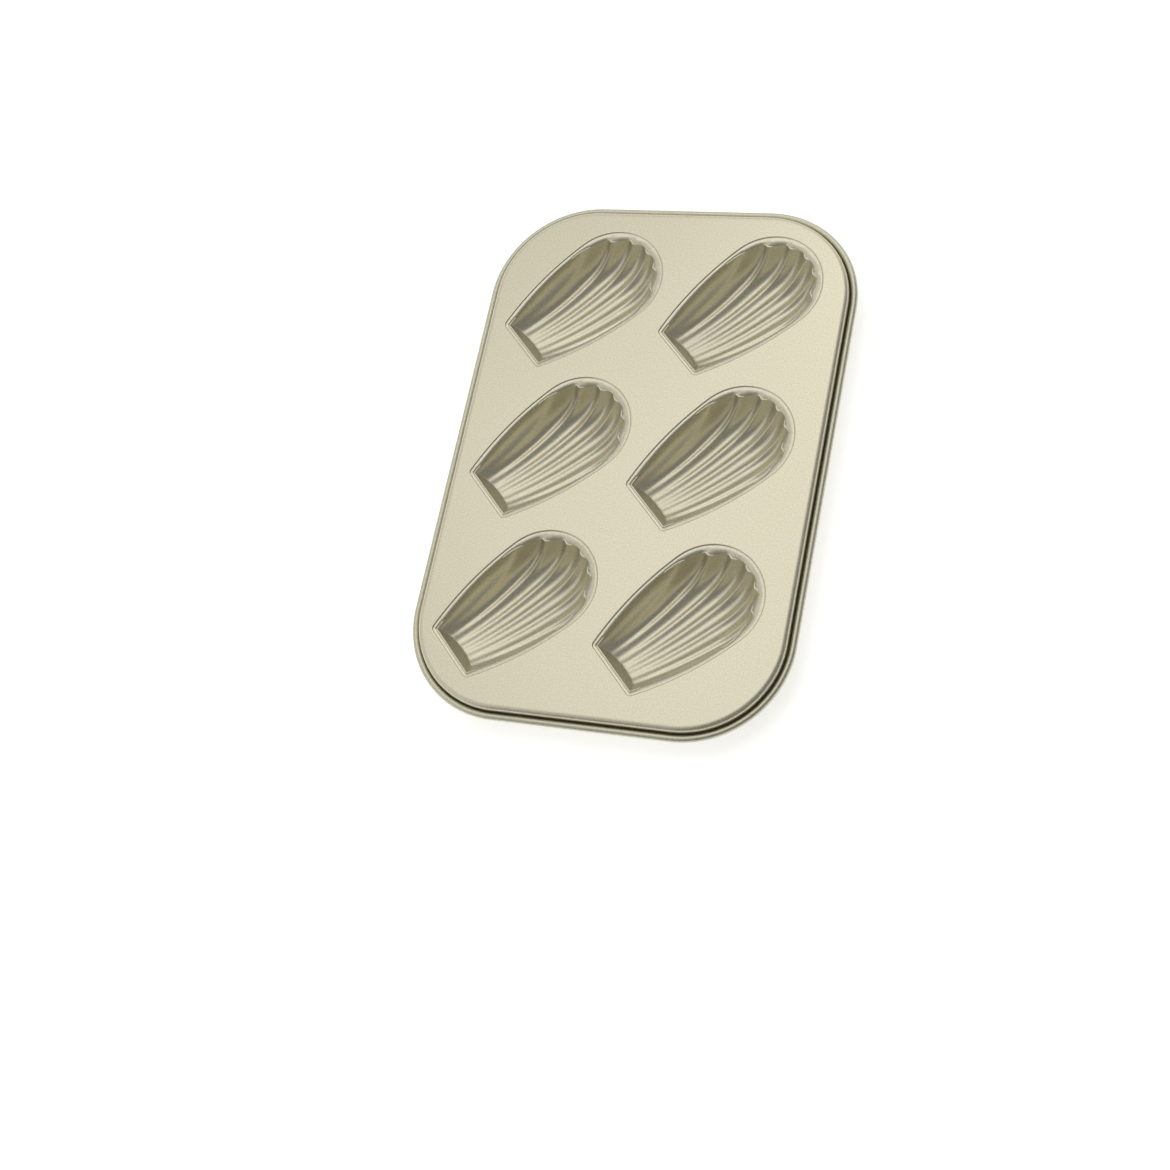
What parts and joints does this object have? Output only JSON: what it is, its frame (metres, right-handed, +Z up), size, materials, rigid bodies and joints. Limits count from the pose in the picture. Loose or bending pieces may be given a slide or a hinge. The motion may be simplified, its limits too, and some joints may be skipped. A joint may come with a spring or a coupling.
{
  "type": "madeleine pan",
  "caption": "Flat steel baking pan with fluted shell cups set on the diagonal, shallow ledges round them and a rolled wired rim.",
  "frame": {"origin": "on the table under the middle of the pan, where the undersides of the cups rest", "axes": "+Z up, +Y along the long side, +X along the short side; each cup's fan edge points to +X +Y and its hinge edge to -X -Y"},
  "size_m": [0.1814, 0.2634, 0.0159],
  "materials": {
    "coated_steel": "champagne-coloured baked non-stick coating, satin with a very fine metallic speckle",
    "wire_steel": "plain drawn steel wire, hidden inside the rim"
  },
  "bodies": {
    "root": {"plate": "coated_steel", "rim_wire": "wire_steel", "shell_cup_1": "coated_steel", "shell_cup_2": "coated_steel", "shell_cup_3": "coated_steel", "shell_cup_4": "coated_steel", "shell_cup_5": "coated_steel", "shell_cup_6": "coated_steel"}
  },
  "joints": []
}
